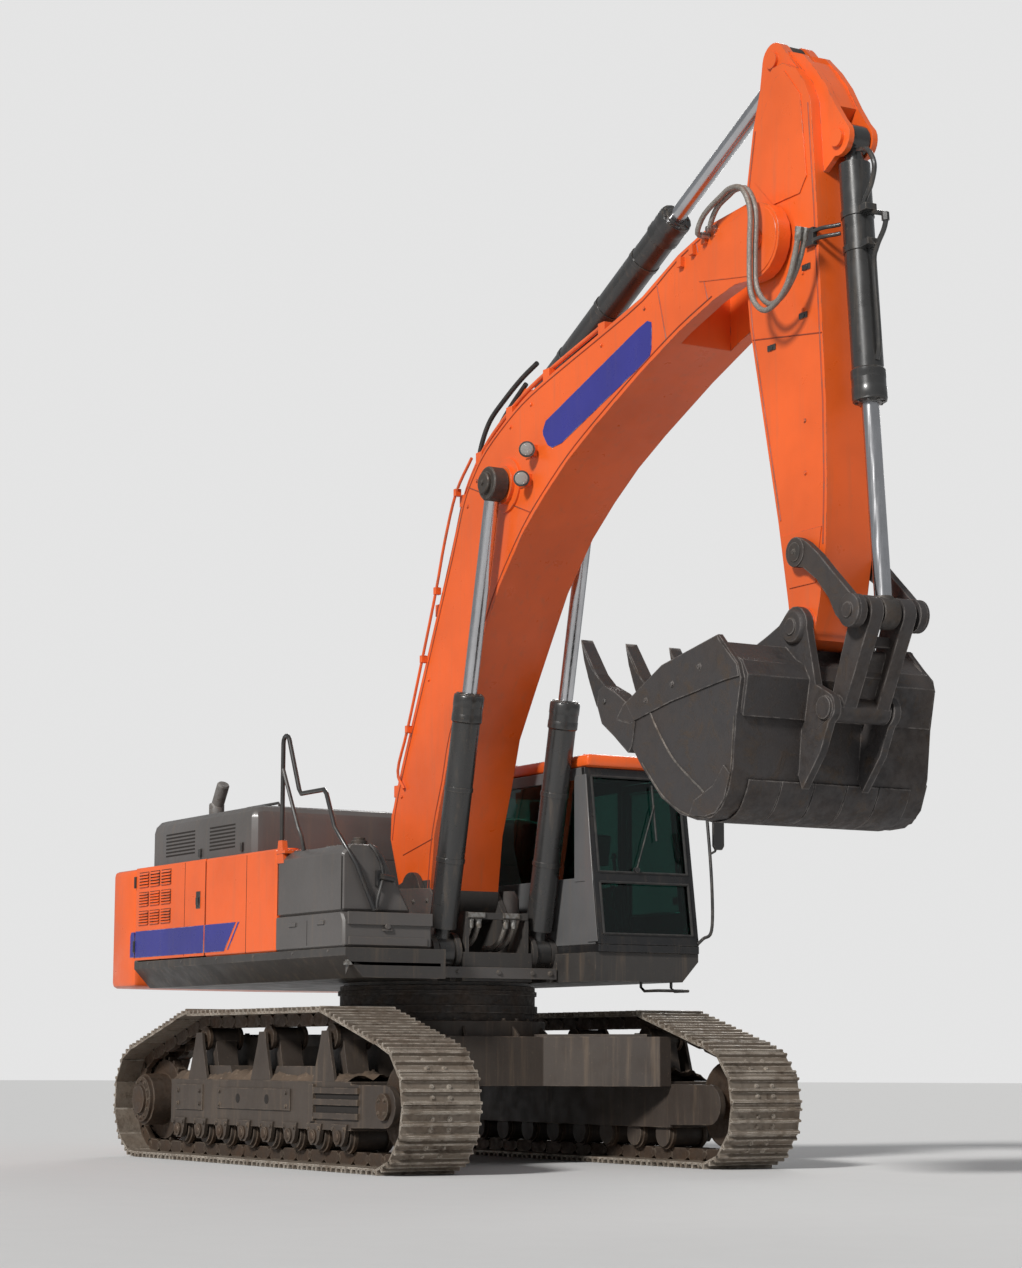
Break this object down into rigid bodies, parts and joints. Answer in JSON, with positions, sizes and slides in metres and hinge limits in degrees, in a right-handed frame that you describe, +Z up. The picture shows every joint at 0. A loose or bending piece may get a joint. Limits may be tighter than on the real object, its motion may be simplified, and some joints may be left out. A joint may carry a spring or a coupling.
{
  "type": "crawler excavator",
  "caption": "Crawler excavator with a slewing house, cab, boom, arm and curled bucket held high, driven by hydraulic cylinders and standing on steel crawler tracks.",
  "frame": {"origin": "on the ground, under the middle of the whole machine's box as it stands in its stored pose", "axes": "+X towards the front where the boom reaches, +Y to the operator's left, +Z up"},
  "size_m": [9.509, 3.371, 7.665],
  "materials": {
    "bucket_grey": "worn paint and bare steel",
    "cab_grey": "satin paint",
    "cylinder_black": "gloss paint",
    "engine_iron": "rough",
    "exhaust_steel": "heat stained",
    "hose": "braided cover",
    "house_grey": "satin paint",
    "orange": "glossy paint, dulled by weather",
    "rail_black": "gloss paint",
    "ring_steel": "machined, greasy",
    "rod_chrome": "polished",
    "seat_fabric": "woven",
    "shoe_steel": "worn and rusty",
    "tinted_glass": "tinted",
    "undercarriage_brown": "dusty paint"
  },
  "bodies": {
    "undercarriage": {"carbody": "undercarriage_brown", "idler_left": "shoe_steel", "idler_right": "shoe_steel", "slew_ring": "ring_steel", "sprocket_left": "shoe_steel", "sprocket_right": "shoe_steel", "track_frame_left": "undercarriage_brown", "track_frame_right": "undercarriage_brown", "track_left": "shoe_steel", "track_right": "shoe_steel"},
    "upperstructure": {"boom_hose_1": "hose", "boom_hose_2": "hose", "boom_hose_3": "hose", "boom_hose_4": "hose", "cab_floor": "cab_grey", "cab_front_frame": "cab_grey", "cab_left_wall": "cab_grey", "cab_rear_wall": "cab_grey", "cab_right_wall": "cab_grey", "cab_roof": "orange", "control_console": "house_grey", "cooler_housing": "orange", "counterweight": "orange", "engine_bay_frame": "house_grey", "engine_block": "engine_iron", "fuel_tank": "house_grey", "grab_rail": "rail_black", "handrail": "rail_black", "hydraulic_tank": "orange", "lower_windshield": "tinted_glass", "operator_seat": "seat_fabric", "quarter_window": "tinted_glass", "rear_window": "tinted_glass", "revolving_frame": "house_grey", "right_window": "tinted_glass", "tool_box": "house_grey", "windshield": "tinted_glass"},
    "boom": {"boom": "orange", "arm_hose_1": "hose", "arm_hose_2": "hose"},
    "arm": {"arm": "orange"},
    "bucket": {"bucket": "bucket_grey"},
    "boom_barrel_right": {"boom_cylinder_right_barrel": "cylinder_black"},
    "boom_rod_right": {"boom_cylinder_right_rod": "rod_chrome"},
    "boom_barrel_left": {"boom_cylinder_left_barrel": "cylinder_black"},
    "boom_rod_left": {"boom_cylinder_left_rod": "rod_chrome"},
    "arm_barrel": {"arm_cylinder_barrel": "cylinder_black"},
    "arm_rod": {"arm_cylinder_rod": "rod_chrome"},
    "bucket_barrel": {"bucket_cylinder_barrel": "cylinder_black"},
    "bucket_rod": {"bucket_cylinder_rod": "rod_chrome"},
    "tilt_levers": {"tilt_lever_left": "bucket_grey", "tilt_lever_right": "bucket_grey"},
    "link": {"power_link": "bucket_grey"},
    "hood": {"engine_hood": "house_grey", "exhaust_pipe": "exhaust_steel"},
    "right_service_door": {"right_side_door": "orange"},
    "left_service_door": {"left_side_door": "orange"},
    "operator_door": {"cab_door": "cab_grey", "door_window": "tinted_glass"}
  },
  "joints": [
    {"name": "slew", "type": "hinge", "parent": "undercarriage", "child": "upperstructure", "pos_m": [-1.215, 0, 1.375], "axis": [0, 0, 1], "continuous": true},
    {"name": "boom_lift", "type": "hinge", "parent": "upperstructure", "child": "boom", "pos_m": [-1.025, 0, 2.12], "axis": [0, -1, 0], "range_deg": [-70, 18]},
    {"name": "arm_swing", "type": "hinge", "parent": "boom", "child": "arm", "pos_m": [3.725, 0, 6.24], "axis": [0, 1, 0], "range_deg": [-72, 22]},
    {"name": "bucket_curl", "type": "hinge", "parent": "arm", "child": "bucket", "pos_m": [4.045, 0, 3.58], "axis": [0, 1, 0], "range_deg": [-110, 8]},
    {"name": "boom_barrel_right_pivot", "type": "hinge", "parent": "upperstructure", "child": "boom_barrel_right", "pos_m": [-0.395, -0.43, 1.62], "axis": [0, -1, 0], "range_deg": [-75, 20]},
    {"name": "boom_rod_right_slide", "type": "slide", "parent": "boom_barrel_right", "child": "boom_rod_right", "axis": [0.221, 0, 0.9753], "range_m": [-0.95, 0.26]},
    {"name": "boom_barrel_left_pivot", "type": "hinge", "parent": "upperstructure", "child": "boom_barrel_left", "pos_m": [-0.395, 0.43, 1.62], "axis": [0, -1, 0], "range_deg": [-75, 20]},
    {"name": "boom_rod_left_slide", "type": "slide", "parent": "boom_barrel_left", "child": "boom_rod_left", "axis": [0.221, 0, 0.9753], "range_m": [-0.95, 0.26]},
    {"name": "arm_barrel_pivot", "type": "hinge", "parent": "boom", "child": "arm_barrel", "pos_m": [0.335, 0, 5.83], "axis": [0, 1, 0], "range_deg": [-9, 4]},
    {"name": "arm_rod_slide", "type": "slide", "parent": "arm_barrel", "child": "arm_rod", "axis": [0.8918, 0, 0.4525], "range_m": [-1.45, 0.46]},
    {"name": "bucket_barrel_pivot", "type": "hinge", "parent": "arm", "child": "bucket_barrel", "pos_m": [4.395, 0, 6.8], "axis": [0, 1, 0], "range_deg": [-3, 1]},
    {"name": "bucket_rod_slide", "type": "slide", "parent": "bucket_barrel", "child": "bucket_rod", "axis": [0.0781, 0, -0.9969], "range_m": [-1.13, 0.1]},
    {"name": "tilt_lever_pivot", "type": "hinge", "parent": "arm", "child": "tilt_levers", "pos_m": [4.065, 0, 4.07], "axis": [0, 1, 0], "range_deg": [-98, 9]},
    {"name": "link_pivot", "type": "hinge", "parent": "tilt_levers", "child": "link", "pos_m": [4.645, 0, 3.61], "axis": [0, 1, 0], "range_deg": [-6, 70]},
    {"name": "hood_hinge", "type": "hinge", "parent": "upperstructure", "child": "hood", "pos_m": [-3.909, 0, 2.4203], "axis": [0, -1, 0], "range_deg": [0, 60]},
    {"name": "right_door_hinge", "type": "hinge", "parent": "upperstructure", "child": "right_service_door", "pos_m": [-3.9087, -1.4835, 1.62], "axis": [0, 0, -1], "range_deg": [0, 110]},
    {"name": "left_door_hinge", "type": "hinge", "parent": "upperstructure", "child": "left_service_door", "pos_m": [-3.9087, 1.4835, 1.62], "axis": [0, 0, 1], "range_deg": [0, 110]},
    {"name": "cab_door_hinge", "type": "hinge", "parent": "upperstructure", "child": "operator_door", "pos_m": [-0.709, 1.48, 1.68], "axis": [0, 0, 1], "range_deg": [0, 100]}
  ],
  "couplings": [
    {"joint": "boom_barrel_right_pivot", "follows": "boom_lift", "ratio": 1},
    {"joint": "boom_rod_right_slide", "follows": "boom_lift", "m_per_rad": 0.75},
    {"joint": "boom_barrel_left_pivot", "follows": "boom_lift", "ratio": 1},
    {"joint": "boom_rod_left_slide", "follows": "boom_lift", "m_per_rad": 0.75},
    {"joint": "arm_barrel_pivot", "follows": "arm_swing", "ratio": 0.02},
    {"joint": "arm_rod_slide", "follows": "arm_swing", "m_per_rad": 1.14},
    {"joint": "bucket_barrel_pivot", "follows": "bucket_curl", "ratio": 0.015},
    {"joint": "bucket_rod_slide", "follows": "bucket_curl", "m_per_rad": 0.5775},
    {"joint": "tilt_lever_pivot", "follows": "bucket_curl", "ratio": 0.87},
    {"joint": "link_pivot", "follows": "bucket_curl", "ratio": -0.62}
  ]
}
